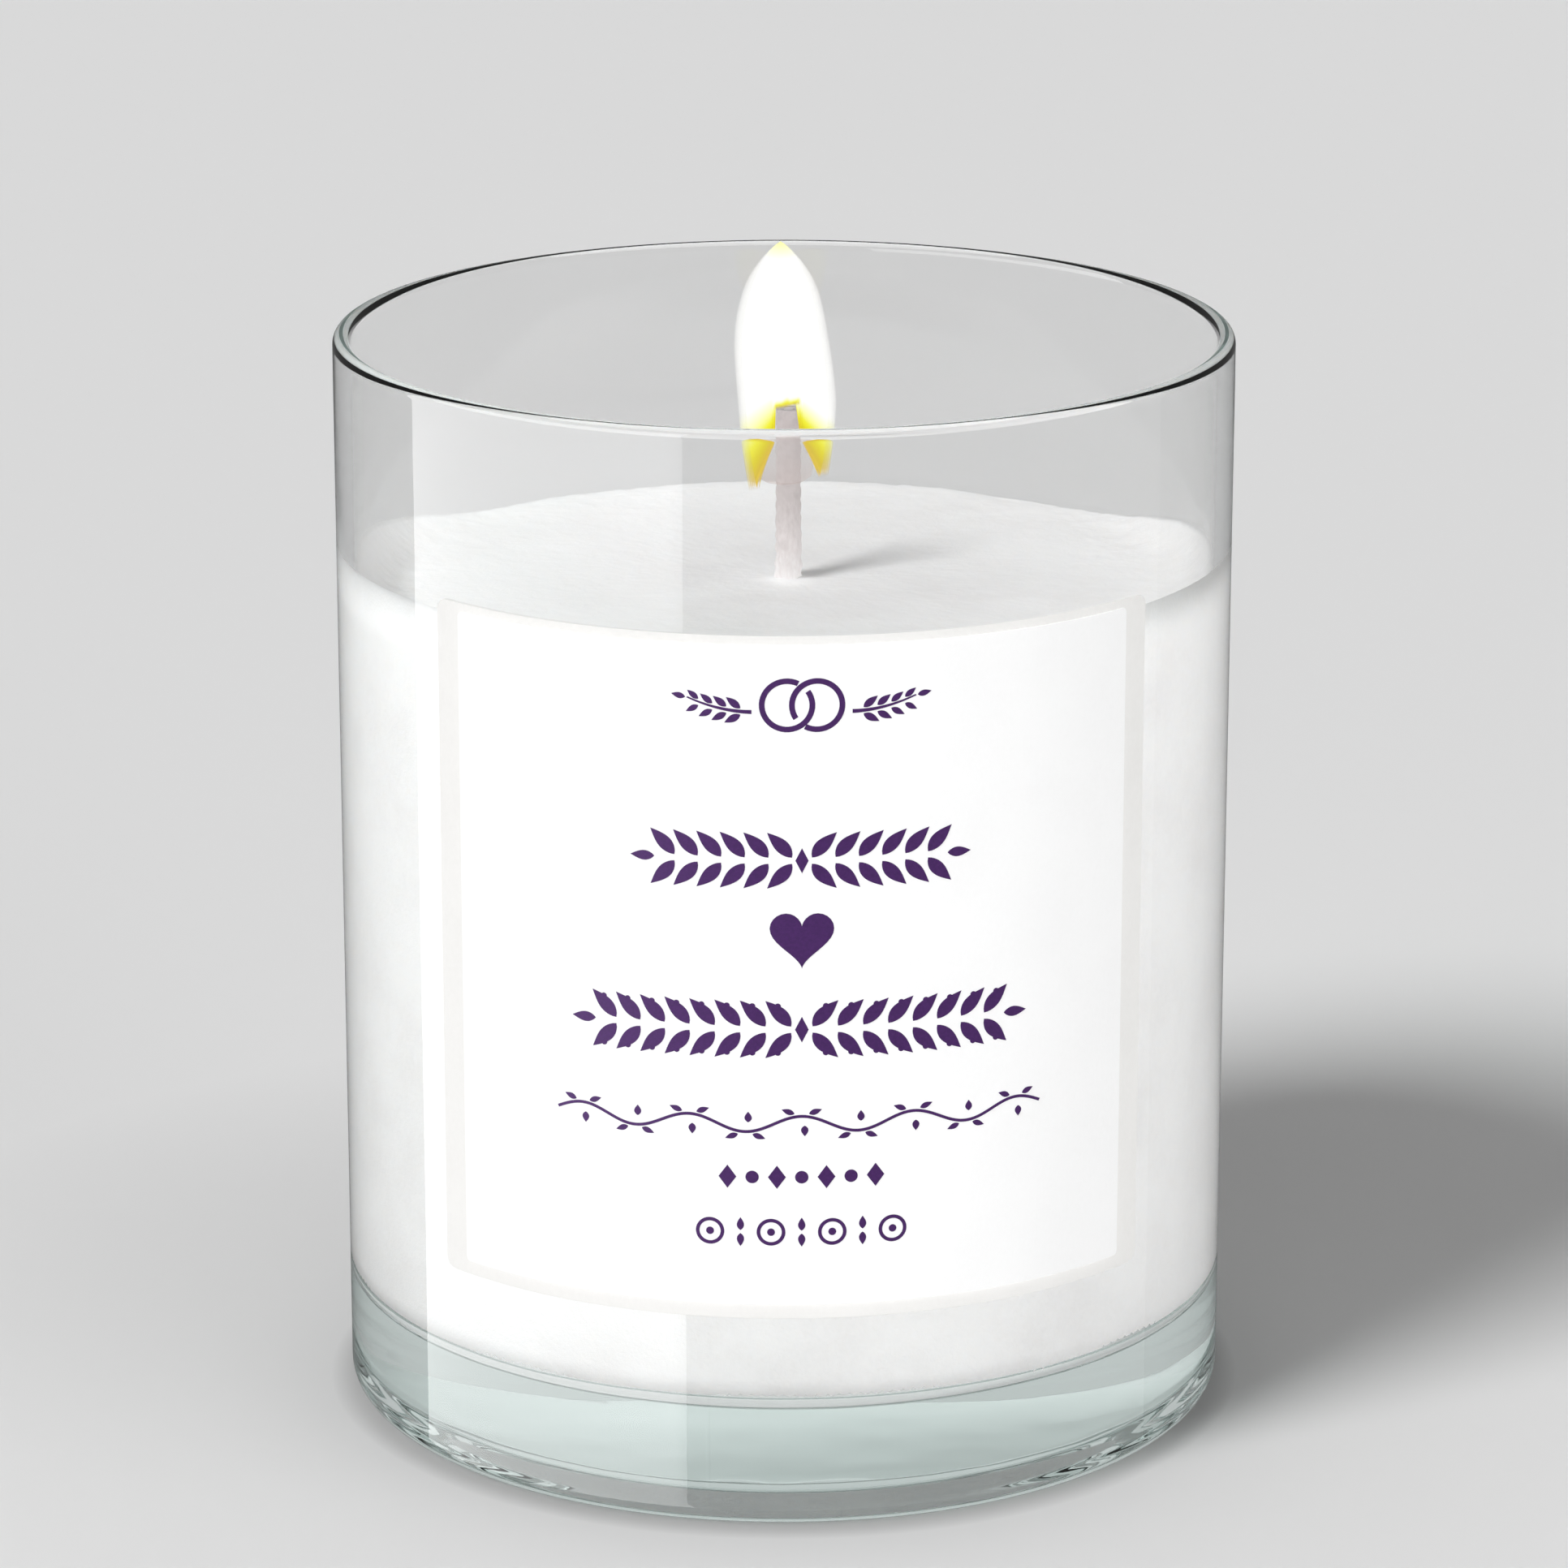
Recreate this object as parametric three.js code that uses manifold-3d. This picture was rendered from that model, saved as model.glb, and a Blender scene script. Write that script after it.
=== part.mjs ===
// A unity candle: a clear, straight-sided glass tumbler filled with poured wax, with a cored cotton
// wick that stands in a stamped metal sustainer stuck to the glass, and a two-layer paper label
// wrapped around the front. Millimetres, +Z up. The origin is the centre of the ring on which the
// glass stands, and the label faces -Y.

import * as THREE from "three";
import { mergeVertices } from "three/addons/utils/BufferGeometryUtils.js";
import Module from "manifold-3d";

const wasm = await Module();
wasm.setup();

// The glass
const GLASS_DIAMETER = 80;
const GLASS_HEIGHT = 98;
const GLASS_WALL = 1.6;
const GLASS_FLOOR = 10; // thickness of the glass under the wax
const INNER_CORNER = 3.5; // rounding between the inside wall and the floor
const HEEL = 2; // rounding at the outside of the foot
const FOOT_RING = 4; // width of the flat ring on which the glass stands
const PUNT = 1.2; // height of the shallow hollow under the base

// The wax
const HEADSPACE = 22.8; // from the rim down to the middle of the wax
const WAX_CLIMB_FRONT = 3.9; // how far the wax clings up the wall at the front and the sides
const WAX_CLIMB_REAR = 0.5; // and at the back
const WAX_CLIMB_WIDTH = 4.5; // the clinging edge starts this far in from the wall
const CLIMB_TURN_START = 88; // degrees from the front at which the edge starts to come down
const CLIMB_TURN_END = 122; // and at which it is down
const WICK_COLLAR_RISE = 0.7; // wax drawn up around the wick
const WICK_COLLAR_WIDTH = 3.2;

// The wick and what holds it
const WICK_DIAMETER = 2.2;
const WICK_ABOVE_WAX = 15.5;
const WICK_OFFSET = 0.4; // the wick stands this far to the right of the axis of the glass
const CORE_DIAMETER = 0.8;
const TAB_DIAMETER = 20; // the round plate of the sustainer
const TAB_THICKNESS = 0.5;
const NECK_HEIGHT = 6; // from the top of the plate
const NECK_WALL = 0.5;
const NECK_FLARE = 0.9; // how much wider the neck is where it leaves the plate
const STICKER_DIAMETER = 18;
const STICKER_THICKNESS = 1;

// The label
const LABEL_WIDTH = 68.2; // along the curve
const LABEL_HEIGHT = 60.8;
const LABEL_CORNER = 1;
const LABEL_THICKNESS = 0.2;
const LABEL_ABOVE_TABLE = 19.7;
const LABEL_SHIFT = 1; // along the curve, to the right of the front
const FACE_WIDTH = 62.6;
const FACE_HEIGHT = 58.8;
const FACE_CORNER = 0.4;
const FACE_THICKNESS = 0.15;
const FACE_ABOVE_LABEL_EDGE = 1.3; // from the label's lower edge to the face's lower edge

// Clearances between pieces that touch
const SET_CLEARANCE = 0.1; // wax to what it is cast against, wick to its neck, core to its braid
const GLUE_LINE = 0.05; // under the sticker, the plate and each layer of the label

// Fineness of the round pieces
const GLASS_SEGMENTS = 72;
const SMALL_SEGMENTS = 36;
const ARC_STEPS = 4; // points in a quarter round

const glassRadius = GLASS_DIAMETER / 2;
const boreRadius = glassRadius - GLASS_WALL;
const waxLevel = GLASS_HEIGHT - HEADSPACE;
const waxRadius = boreRadius - SET_CLEARANCE;
const pocketRadius = Math.max(TAB_DIAMETER, STICKER_DIAMETER) / 2 + SET_CLEARANCE;
const waxBottom = GLASS_FLOOR + SET_CLEARANCE;
const stickerBottom = GLASS_FLOOR + GLUE_LINE;
const stickerTop = stickerBottom + STICKER_THICKNESS;
const tabBottom = stickerTop + GLUE_LINE;
const tabTop = tabBottom + TAB_THICKNESS;
const neckTop = tabTop + NECK_HEIGHT;
const wickRadius = WICK_DIAMETER / 2;
const wickTop = waxLevel + WICK_ABOVE_WAX;
const neckRadius = wickRadius + SET_CLEARANCE + NECK_WALL;

// Points [radius, height] on an arc in a profile, from one angle to another, in degrees.
function arc(radius, height, r, from, to, steps) {
  return Array.from({ length: steps + 1 }, (_, i) => {
    const a = THREE.MathUtils.degToRad(from + ((to - from) * i) / steps);
    return [radius + r * Math.cos(a), height + r * Math.sin(a)];
  });
}

// A profile of [radius, height] points turned about +Z.
function turned(profile, segments) {
  const points = profile.map(([radius, height]) => new THREE.Vector2(Math.max(radius, 0), height));
  return new THREE.LatheGeometry(points, segments).rotateX(Math.PI / 2);
}

function solidOf(geometry) {
  const bare = geometry.clone();
  bare.deleteAttribute("normal");
  bare.deleteAttribute("uv");
  const merged = mergeVertices(bare, 1e-4);
  return new wasm.Manifold(
    new wasm.Mesh({
      numProp: 3,
      vertProperties: merged.attributes.position.array,
      triVerts: new Uint32Array(merged.index.array),
    }),
  );
}

function geometryOf(solid) {
  const { vertProperties, triVerts } = solid.getMesh();
  return new THREE.BufferGeometry()
    .setAttribute("position", new THREE.BufferAttribute(vertProperties, 3))
    .setIndex(new THREE.BufferAttribute(triVerts, 1));
}

function piece(name, geometry, material) {
  const mesh = new THREE.Mesh(geometry, new THREE.MeshStandardMaterial(material));
  mesh.name = name;
  return mesh;
}

// One pressed piece: shallow punt, foot ring, rounded heel, straight wall, full-round lip, and a flat
// floor inside with a rounded corner.
function glassTumbler() {
  const ringOuter = glassRadius - HEEL;
  const ringInner = ringOuter - FOOT_RING;
  const lip = GLASS_WALL / 2;
  const profile = [
    [0, PUNT],
    [ringInner - 2 * PUNT, PUNT],
    [ringInner, 0],
    ...arc(ringOuter, HEEL, HEEL, -90, 0, ARC_STEPS),
    ...arc(glassRadius - lip, GLASS_HEIGHT - lip, lip, 0, 180, 2 * ARC_STEPS),
    ...arc(boreRadius - INNER_CORNER, GLASS_FLOOR + INNER_CORNER, INNER_CORNER, 0, -90, ARC_STEPS),
    [0, GLASS_FLOOR],
  ];
  return piece("glass_tumbler", turned(profile, GLASS_SEGMENTS), {
    color: 0xdfe6e3,
    roughness: 0.03,
    metalness: 0,
    transparent: true,
    opacity: 0.35,
  });
}

// How far the wax clings up the wall, by direction: high at the front and the sides, low at the back.
function clingAt(x, y) {
  const fromFront = THREE.MathUtils.radToDeg(Math.abs(Math.atan2(x, -y)));
  const down = THREE.MathUtils.smoothstep(fromFront, CLIMB_TURN_START, CLIMB_TURN_END);
  return THREE.MathUtils.lerp(WAX_CLIMB_FRONT, WAX_CLIMB_REAR, down);
}

// The wax fills the glass up to its level. Its top is pulled up at the wall and around the wick, and
// a stepped hole takes the sticker, the sustainer and the wick.
function waxFill() {
  const corner = INNER_CORNER - SET_CLEARANCE;
  const edgeStart = waxRadius - WAX_CLIMB_WIDTH;
  const rings = [...[1, 0.75, 0.5, 0.25].map((t) => edgeStart + t * WAX_CLIMB_WIDTH), edgeStart];
  const inner = [edgeStart / 2, WICK_COLLAR_WIDTH * 1.5, WICK_COLLAR_WIDTH * 0.75, 0];
  const profile = [
    [0, waxBottom],
    ...arc(waxRadius - corner, waxBottom + corner, corner, -90, 0, ARC_STEPS),
    ...[...rings, ...inner].map((radius) => [radius, waxLevel]),
  ];
  const body = turned(profile, GLASS_SEGMENTS);
  const at = body.attributes.position;
  const point = new THREE.Vector3();
  for (let i = 0; i < at.count; i++) {
    point.fromBufferAttribute(at, i);
    if (point.z < waxLevel - SET_CLEARANCE) continue;
    const fromAxis = Math.hypot(point.x, point.y);
    const fromWick = Math.hypot(point.x - WICK_OFFSET, point.y);
    const edge = Math.max(0, (fromAxis - edgeStart) / WAX_CLIMB_WIDTH);
    const collar = Math.max(0, 1 - fromWick / WICK_COLLAR_WIDTH);
    const rise = clingAt(point.x, point.y) * edge ** 2 + WICK_COLLAR_RISE * collar ** 2;
    at.setZ(i, waxLevel + rise);
  }
  const hole = turned(
    [
      [0, 0],
      [pocketRadius, 0],
      [pocketRadius, tabTop + SET_CLEARANCE],
      [neckRadius + NECK_FLARE + SET_CLEARANCE, tabTop + SET_CLEARANCE],
      [neckRadius + SET_CLEARANCE, neckTop + SET_CLEARANCE],
      [wickRadius + SET_CLEARANCE, neckTop + SET_CLEARANCE],
      [wickRadius + SET_CLEARANCE, GLASS_HEIGHT + WICK_ABOVE_WAX],
      [0, GLASS_HEIGHT + WICK_ABOVE_WAX],
    ],
    SMALL_SEGMENTS,
  ).translate(WICK_OFFSET, 0, 0);
  return piece("wax_fill", geometryOf(solidOf(body).subtract(solidOf(hole))), {
    color: 0xf4f3f1,
    roughness: 0.75,
    metalness: 0,
  });
}

// The foam pad that holds the sustainer to the glass.
function sustainerSticker() {
  const radius = STICKER_DIAMETER / 2;
  const profile = [
    [0, stickerBottom],
    [radius, stickerBottom],
    [radius, stickerTop],
    [0, stickerTop],
  ];
  return piece("sustainer_sticker", turned(profile, SMALL_SEGMENTS), {
    color: 0xf2f2ee,
    roughness: 0.9,
    metalness: 0,
  });
}

// A round stamped plate with a drawn neck that is crimped on the wick.
function wickSustainer() {
  const bore = wickRadius + SET_CLEARANCE;
  const profile = [
    [bore, tabBottom],
    [TAB_DIAMETER / 2, tabBottom],
    [TAB_DIAMETER / 2, tabTop],
    [neckRadius + NECK_FLARE, tabTop],
    [neckRadius, neckTop],
    [bore, neckTop],
    [bore, tabBottom],
  ];
  return piece("wick_sustainer", turned(profile, SMALL_SEGMENTS), {
    color: 0xb9bbbd,
    roughness: 0.35,
    metalness: 1,
  });
}

// The cotton braid, a sleeve around the core.
function wickBraid() {
  const inside = CORE_DIAMETER / 2 + SET_CLEARANCE;
  const profile = [
    [inside, tabBottom],
    [wickRadius, tabBottom],
    [wickRadius, wickTop],
    [inside, wickTop],
    [inside, tabBottom],
  ];
  return piece("wick_braid", turned(profile, SMALL_SEGMENTS), {
    color: 0xcfc8cc,
    roughness: 0.9,
    metalness: 0,
  });
}

// The twisted paper core that keeps the braid upright.
function wickCore() {
  const profile = [
    [0, tabBottom],
    [CORE_DIAMETER / 2, tabBottom],
    [CORE_DIAMETER / 2, wickTop],
    [0, wickTop],
  ];
  return piece("wick_core", turned(profile, SMALL_SEGMENTS), {
    color: 0xe4dfd8,
    roughness: 0.95,
    metalness: 0,
  });
}

// A round-cornered sheet wrapped around +Z, with its middle at the front. It is a flat box, divided
// along its width, whose ends are shaped to the round corners and which is then bent.
function wrappedSheet(width, height, corner, thickness, innerRadius, bottom, shift) {
  const columns = 40;
  const box = new THREE.BoxGeometry(2, thickness, 1, columns + 2 * ARC_STEPS, 1, 1);
  const straight = width / 2 - corner;
  // The two ends of the box become the rounded corners and the rest the straight part between them.
  const cornerShare = ARC_STEPS / (columns / 2 + ARC_STEPS);
  const at = box.attributes.position;
  for (let i = 0; i < at.count; i++) {
    const side = Math.sign(at.getX(i));
    const t = Math.abs(at.getX(i));
    const turn = (Math.PI / 2) * Math.max(0, (t - (1 - cornerShare)) / cornerShare);
    const across = straight * Math.min(1, t / (1 - cornerShare)) + corner * Math.sin(turn);
    const half = height / 2 - corner + corner * Math.cos(turn);
    const angle = (side * across + shift) / innerRadius;
    const radius = innerRadius + thickness / 2 - at.getY(i);
    const up = bottom + height / 2 + Math.sign(at.getZ(i)) * half;
    at.setXYZ(i, radius * Math.sin(angle), -radius * Math.cos(angle), up);
  }
  return box;
}

// The off-white sticker on the glass.
function labelBacking() {
  const sheet = wrappedSheet(
    LABEL_WIDTH,
    LABEL_HEIGHT,
    LABEL_CORNER,
    LABEL_THICKNESS,
    glassRadius + GLUE_LINE,
    LABEL_ABOVE_TABLE,
    LABEL_SHIFT,
  );
  return piece("label_backing", sheet, { color: 0xf6f5f3, roughness: 0.6, metalness: 0 });
}

// The whiter printed panel on the sticker.
function labelFace() {
  const sheet = wrappedSheet(
    FACE_WIDTH,
    FACE_HEIGHT,
    FACE_CORNER,
    FACE_THICKNESS,
    glassRadius + GLUE_LINE + LABEL_THICKNESS + GLUE_LINE,
    LABEL_ABOVE_TABLE + FACE_ABOVE_LABEL_EDGE,
    LABEL_SHIFT,
  );
  return piece("label_face", sheet, { color: 0xffffff, roughness: 0.5, metalness: 0 });
}

const wickAssembly = new THREE.Group();
wickAssembly.position.x = WICK_OFFSET;
wickAssembly.add(sustainerSticker(), wickSustainer(), wickBraid(), wickCore());

const group = new THREE.Group();
group.add(glassTumbler(), waxFill(), wickAssembly, labelBacking(), labelFace());

export default group;
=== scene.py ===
"""The looks of a unity candle: a lit candle of white wax in a clear glass tumbler with a label.

Everything is in metres in the frame of the CAD model: +Z up, the label faces -Y, and the glass
stands on z = 0. Sizes written in millimetres are multiplied by MM.
"""

import math

import bmesh
import bpy
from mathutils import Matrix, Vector, noise


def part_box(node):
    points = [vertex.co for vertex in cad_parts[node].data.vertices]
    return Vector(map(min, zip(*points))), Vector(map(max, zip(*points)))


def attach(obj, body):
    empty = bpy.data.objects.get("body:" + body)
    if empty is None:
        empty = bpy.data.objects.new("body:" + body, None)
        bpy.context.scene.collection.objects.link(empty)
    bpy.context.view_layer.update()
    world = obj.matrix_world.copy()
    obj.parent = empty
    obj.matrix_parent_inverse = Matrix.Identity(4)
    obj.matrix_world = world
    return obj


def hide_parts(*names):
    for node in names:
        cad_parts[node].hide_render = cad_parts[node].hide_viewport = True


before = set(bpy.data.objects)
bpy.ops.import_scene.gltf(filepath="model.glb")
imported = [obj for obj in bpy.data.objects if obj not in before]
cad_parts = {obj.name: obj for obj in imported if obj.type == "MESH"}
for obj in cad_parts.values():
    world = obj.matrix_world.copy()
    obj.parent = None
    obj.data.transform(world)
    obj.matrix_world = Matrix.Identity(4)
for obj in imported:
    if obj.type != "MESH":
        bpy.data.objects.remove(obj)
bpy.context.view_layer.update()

MM = 0.001
TURN = 2 * math.pi

# The glass, as in the CAD model
glass_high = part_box("glass_tumbler")[1]
GLASS_RADIUS = glass_high.x
GLASS_HEIGHT = glass_high.z
WALL = 1.6 * MM
LIP = WALL / 2
FLOOR_TOP = 10 * MM
INNER_CORNER = 3.5 * MM
HEEL = 2 * MM
FOOT_RING = 4 * MM
PUNT = 1.2 * MM
BORE = GLASS_RADIUS - WALL

# The wax
WAX_OVERLAP = 0.05 * MM  # the wax wets the glass, so it starts a hair inside its surface
WAX_RADIUS = BORE + WAX_OVERLAP
WAX_LEVEL = GLASS_HEIGHT - 22.8 * MM
CLIMB_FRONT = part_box("wax_fill")[1].z - WAX_LEVEL
CLIMB_REAR = -0.3 * MM  # the CAD model's wax climbs 0.5 mm here, and this sinks a little
CLIMB_WIDTH = 4.5 * MM
CLIMB_TURN = (math.radians(88), math.radians(140))  # the turn from the front between the two
COLLAR_RISE = 0.7 * MM
COLLAR_WIDTH = 3.2 * MM

# The wick and what holds it
wick_low, wick_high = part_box("wick_braid")
WICK_X = (wick_low.x + wick_high.x) / 2
WICK_RADIUS = (wick_high.x - wick_low.x) / 2
WICK_BOTTOM = wick_low.z
WICK_TOP = wick_high.z
core_low, core_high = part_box("wick_core")
CORE_RADIUS = (core_high.x - core_low.x) / 2

# The label
backing_low, backing_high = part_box("label_backing")
face_low, face_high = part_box("label_face")
LABEL_SHIFT = 1 * MM  # along the curve
BACKING_OUTER = -backing_low.y
BACKING_THICKNESS = 0.2 * MM
BACKING_WIDTH = 68.2 * MM
BACKING_CORNER = 1 * MM
FACE_OUTER = -face_low.y
FACE_THICKNESS = 0.15 * MM
FACE_WIDTH = 62.6 * MM
FACE_CORNER = 0.4 * MM
INK_RISE = 0.025 * MM  # how far the print stands proud of the label
INK_SINK = 0.01 * MM
INK_STRIP = 0.9 * MM  # the print is cut into strips this wide, so that it bends round the glass
PRINT_SHIFT = LABEL_SHIFT + 0.5 * MM

SUPPORT = 0.12 * MM  # how close to a rounded edge its straight neighbour gets an extra point


# ---------------------------------------------------------------- small helpers


def smoothstep(x, start, end):
    t = min(1.0, max(0.0, (x - start) / (end - start)))
    return t * t * (3 - 2 * t)


def mix(a, b, t):
    return a + (b - a) * t


def grain(x, y, z, size, seed=0.0):
    """Smooth noise from about -1 to 1 whose grains are as large as size."""
    return noise.noise(Vector((x / size + seed, y / size - seed, z / size + 2 * seed)))


def mesh_piece(name, points, faces, smooth=True):
    mesh = bpy.data.meshes.new(name)
    mesh.from_pydata(points, [], faces)
    mesh.validate()
    piece = bpy.data.objects.new(name, mesh)
    bpy.context.scene.collection.objects.link(piece)
    mesh.polygons.foreach_set("use_smooth", [smooth] * len(mesh.polygons))
    return piece


def finish_piece(piece, material, replaced=()):
    """Gives a piece its material and its body, and hides the CAD parts that it replaces."""
    piece.data.materials.clear()
    piece.data.materials.append(material)
    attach(piece, "root")
    if replaced:
        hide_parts(*replaced)
    return piece


def arc(radius, height, r, start, end, steps):
    """Profile points (radius, height) on an arc, with its angles in degrees."""
    angles = [math.radians(mix(start, end, i / steps)) for i in range(steps + 1)]
    return [(radius + r * math.cos(a), height + r * math.sin(a)) for a in angles]


def line(start, end, steps):
    """Profile points after start, up to end."""
    return [
        (mix(start[0], end[0], i / steps), mix(start[1], end[1], i / steps))
        for i in range(1, steps + 1)
    ]


def straight(start, end, steps):
    """A line with an extra point close to each end, so that rounding beside it doesn't shade it."""
    length = math.dist(start, end)
    close = SUPPORT / length
    shares = [close] + [i / steps for i in range(1, steps)] + [1 - close, 1]
    return [(mix(start[0], end[0], t), mix(start[1], end[1], t)) for t in shares]


def turned(name, profile, segments, shape=None):
    """A profile of (radius, height) turned about +Z. shape(x, y, z) may move each point."""
    points, rings = [], []
    for radius, height in profile:
        count = segments if radius > 1e-9 else 1
        rings.append(range(len(points), len(points) + count))
        for k in range(count):
            a = TURN * k / segments
            point = (radius * math.sin(a), -radius * math.cos(a), height)
            points.append(shape(*point) if shape else point)
    faces = []
    for low, high in zip(rings, rings[1:]):
        for k in range(segments):
            n = (k + 1) % segments
            if len(low) == 1:
                faces.append((low[0], high[n], high[k]))
            elif len(high) == 1:
                faces.append((low[k], low[n], high[0]))
            else:
                faces.append((low[k], low[n], high[n], high[k]))
    return mesh_piece(name, points, faces)


# ---------------------------------------------------------------- materials


class Nodes:
    """A material being made, with short calls for its nodes."""

    def __init__(self, name):
        self.material = bpy.data.materials.new(name)
        self.material.use_nodes = True
        self.tree = self.material.node_tree
        self.tree.nodes.clear()
        self.output = self.tree.nodes.new("ShaderNodeOutputMaterial")
        self.place = self.add("TexCoord").outputs["Object"]

    def add(self, kind, **settings):
        node = self.tree.nodes.new("ShaderNode" + kind)
        for key, value in settings.items():
            setattr(node, key, value)
        return node

    def set(self, socket, value):
        """Links a socket to another, or gives it a plain value."""
        if isinstance(value, bpy.types.NodeSocket):
            self.tree.links.new(value, socket)
        else:
            socket.default_value = value

    def math(self, operation, *values):
        node = self.add("Math", operation=operation)
        for socket, value in zip(node.inputs, values):
            self.set(socket, value)
        return node.outputs[0]

    def noise(self, grains, detail=3.0, roughness=0.55, stretch=(1, 1, 1)):
        """Noise from 0 to 1 with grains of about this many metres."""
        mapping = self.add("Mapping")
        self.set(mapping.inputs["Vector"], self.place)
        mapping.inputs["Scale"].default_value = stretch
        node = self.add("TexNoise")
        self.set(node.inputs["Vector"], mapping.outputs[0])
        node.inputs["Scale"].default_value = 1 / grains
        node.inputs["Detail"].default_value = detail
        node.inputs["Roughness"].default_value = roughness
        return node.outputs["Fac"]

    def ramp(self, factor, *stops):
        """A colour ramp through (position, colour) stops."""
        node = self.add("ValToRGB")
        elements = node.color_ramp.elements
        while len(elements) < len(stops):
            elements.new(0.5)
        for element, (position, colour) in zip(elements, stops):
            element.position = position
            element.color = (*colour, 1)
        self.set(node.inputs["Fac"], factor)
        return node.outputs["Color"]

    def between(self, value, start, end, low=0.0, high=1.0, kind="LINEAR"):
        """Maps start..end to low..high and holds there."""
        node = self.add("MapRange", interpolation_type=kind)
        for socket, given in zip(node.inputs, (value, start, end, low, high)):
            self.set(socket, given)
        return node.outputs["Result"]

    def spread(self, factor, low, high):
        """Maps 0..1 to low..high."""
        return self.between(factor, 0.0, 1.0, low, high)

    def parts(self):
        """The X, Y and Z of the place that is shaded."""
        split = self.add("SeparateXYZ")
        self.set(split.inputs[0], self.place)
        return split.outputs["X"], split.outputs["Y"], split.outputs["Z"]

    def distance(self, x, y):
        """How far (x, y) is from (0, 0)."""
        return self.math("SQRT", self.math("MULTIPLY_ADD", x, x, self.math("MULTIPLY", y, y)))

    def times(self, colour, other):
        """One colour multiplied by another."""
        node = self.add("Mix", data_type="RGBA", blend_type="MULTIPLY")
        node.inputs["Factor"].default_value = 1.0
        self.set(node.inputs["A"], colour)
        self.set(node.inputs["B"], other)
        return node.outputs["Result"]

    def glow(self, colour=(1, 1, 1, 1), strength=1.0):
        """A shader that gives off light."""
        node = self.add("Emission")
        self.set(node.inputs["Color"], colour)
        self.set(node.inputs["Strength"], strength)
        return node.outputs[0]

    def blend(self, factor, first, second):
        """The first shader, and the second one where the factor is 1."""
        node = self.add("MixShader")
        self.set(node.inputs["Fac"], factor)
        self.set(node.inputs[1], first)
        self.set(node.inputs[2], second)
        return node.outputs[0]

    def bump(self, height, distance, under=None):
        """A bump whose height of 1 is this many metres, on top of another bump."""
        node = self.add("Bump")
        node.inputs["Strength"].default_value = 1.0
        node.inputs["Distance"].default_value = distance
        self.set(node.inputs["Height"], height)
        if under is not None:
            self.set(node.inputs["Normal"], under)
        return node.outputs["Normal"]

    def principled(self, **inputs):
        """A Principled BSDF. Input names have _ for their spaces."""
        node = self.add("BsdfPrincipled")
        for key, value in inputs.items():
            if isinstance(value, tuple) and len(value) == 3 and "Color" in key:
                value = (*value, 1)
            self.set(node.inputs[key.replace("_", " ")], value)
        return node.outputs["BSDF"]

    def done(self, shader, volume=None):
        self.set(self.output.inputs["Surface"], shader)
        if volume is not None:
            self.set(self.output.inputs["Volume"], volume)
        return self.material


def clear_glass():
    """Clear soda-lime glass: faint waves, a few smudges, and a green tint in depth.

    A ray on its way to a light passes straight through, so the wax inside is lit.
    """
    n = Nodes("clear_glass")
    waves = n.bump(n.noise(9 * MM, detail=1.0, stretch=(1, 1, 0.35)), 0.02 * MM)
    smudges = n.noise(14 * MM, detail=4.0)
    glass = n.principled(
        Base_Color=(1, 1, 1),
        Roughness=n.spread(smudges, 0.0, 0.02),
        IOR=1.5,
        Transmission_Weight=1.0,
        Normal=waves,
    )
    see_through = n.add("BsdfTransparent")
    see_through.inputs["Color"].default_value = (0.94, 0.955, 0.95, 1)
    for_shadows = n.add("LightPath").outputs["Is Shadow Ray"]
    surface = n.blend(for_shadows, glass, see_through.outputs[0])
    depth = n.add("VolumeAbsorption")
    depth.inputs["Color"].default_value = (0.60, 0.78, 0.74, 1)
    depth.inputs["Density"].default_value = 8.0
    return n.done(surface, depth.outputs[0])


def wax_material():
    """Matte white wax with a granular, slightly frosted skin, and painted shade that makes it a
    little greyer lower down.
    """
    n = Nodes("wax")
    fine = n.noise(0.5 * MM, detail=4.0, roughness=0.7)
    broad = n.noise(9 * MM, detail=3.0)
    colour = n.ramp(
        n.math("MULTIPLY_ADD", fine, 0.35, n.math("MULTIPLY", broad, 0.65)),
        (0.30, (0.870, 0.859, 0.856)),
        (0.55, (0.932, 0.926, 0.924)),
        (0.75, (0.955, 0.951, 0.948)),
    )
    z = n.parts()[2]
    # Painted shade: the colour darkens lower down, to 0.86 of itself at a fifth of the wax's height.
    colour = n.times(colour, n.between(z, 0.2 * WAX_LEVEL, WAX_LEVEL, 0.86, 1.0))
    bumps = n.bump(fine, 0.06 * MM, under=n.bump(n.noise(2.2 * MM), 0.05 * MM))
    shader = n.principled(
        Base_Color=colour,
        Roughness=n.spread(broad, 0.55, 0.75),
        Subsurface_Weight=0.35,
        Subsurface_Radius=(2.2, 2.0, 1.8),
        Subsurface_Scale=MM,
        Specular_IOR_Level=0.3,
        Normal=bumps,
    )
    return n.done(shader)


def cotton_material():
    """Off-white, pinkish-grey cotton, paler where wax has soaked it near the bottom."""
    n = Nodes("wick_cotton")
    fibres = n.noise(0.25 * MM, detail=5.0, roughness=0.7, stretch=(1, 1, 0.3))
    up = n.between(n.parts()[2], WAX_LEVEL, WAX_LEVEL + 8 * MM)
    dry = n.math("MULTIPLY_ADD", fibres, 0.6, n.math("MULTIPLY", up, 0.6))
    colour = n.ramp(
        dry,
        (0.22, (0.86, 0.84, 0.84)),
        (0.55, (0.70, 0.645, 0.64)),
        (0.85, (0.56, 0.505, 0.50)),
    )
    shader = n.principled(
        Base_Color=colour,
        Roughness=0.9,
        Sheen_Weight=0.3,
        Specular_IOR_Level=0.2,
        Normal=n.bump(fibres, 0.08 * MM),
    )
    return n.done(shader)


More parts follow.
